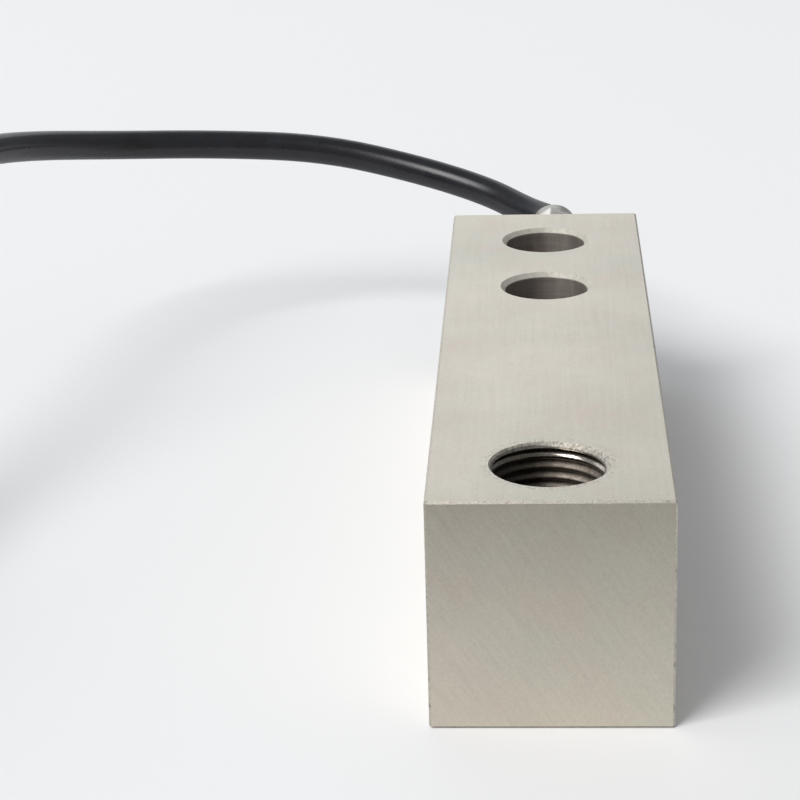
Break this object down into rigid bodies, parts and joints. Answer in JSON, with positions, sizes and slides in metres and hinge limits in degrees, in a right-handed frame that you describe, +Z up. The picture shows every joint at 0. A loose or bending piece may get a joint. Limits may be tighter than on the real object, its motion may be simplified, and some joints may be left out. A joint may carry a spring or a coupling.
{
  "type": "cantilever beam load cell",
  "caption": "Square steel shear-beam load cell with a threaded load hole, clearance bolt holes at the fixed end, covered strain-gauge pockets and a black cable from a hexagonal gland.",
  "frame": {"origin": "on the underside of the beam, at its middle", "axes": "+Y along the beam from the load end to the cable end, +X across it, +Z up along the load hole"},
  "size_m": [0.2058, 0.1868, 0.0484],
  "materials": {
    "plated_steel": "satin",
    "plated_brass": "satin",
    "seal_rubber": "matte",
    "ring_plastic": "matte",
    "film": "satin",
    "foil": "satin",
    "terminal_laminate": "matte",
    "board_laminate": "satin",
    "chip": "satin",
    "copper_wire": "satin",
    "jacket": "satin",
    "tie_plastic": "satin",
    "sleeve_plastic": "matte",
    "insulation_red": "satin",
    "insulation_black": "satin",
    "insulation_white": "satin",
    "insulation_green": "satin",
    "insulation_yellow": "satin",
    "tinned_copper": "satin"
  },
  "bodies": {
    "root": {"beam": "plated_steel", "gauge_cover_right": "plated_steel", "gauge_cover_left": "plated_steel", "passage_plugs": "plated_steel", "gauge_film_right": "film", "gauge_film_left": "film", "gauge_grid_right": "foil", "gauge_grid_left": "foil", "terminal_right": "terminal_laminate", "terminal_left": "terminal_laminate", "trim_board": "board_laminate", "trim_resistors": "chip", "gauge_leads_right": "copper_wire", "gauge_leads_left": "copper_wire", "board_jumpers": "copper_wire", "link_wires": "copper_wire", "core_red": "insulation_red", "core_black": "insulation_black", "core_green": "insulation_green", "core_white": "insulation_white", "gland_washer": "seal_rubber", "gland_body": "plated_brass", "gland_seal": "seal_rubber", "gland_slip_washer": "ring_plastic", "gland_nut": "plated_brass", "cable_entry": "jacket", "cable_run": "jacket", "cable_coil": "jacket", "coil_tie": "tie_plastic", "cable_tail": "jacket", "end_sleeve": "sleeve_plastic", "lead_tips": "tinned_copper", "lead_red": "insulation_red", "lead_black": "insulation_black", "lead_white": "insulation_white", "lead_green": "insulation_green", "lead_shield": "insulation_yellow"}
  },
  "joints": []
}
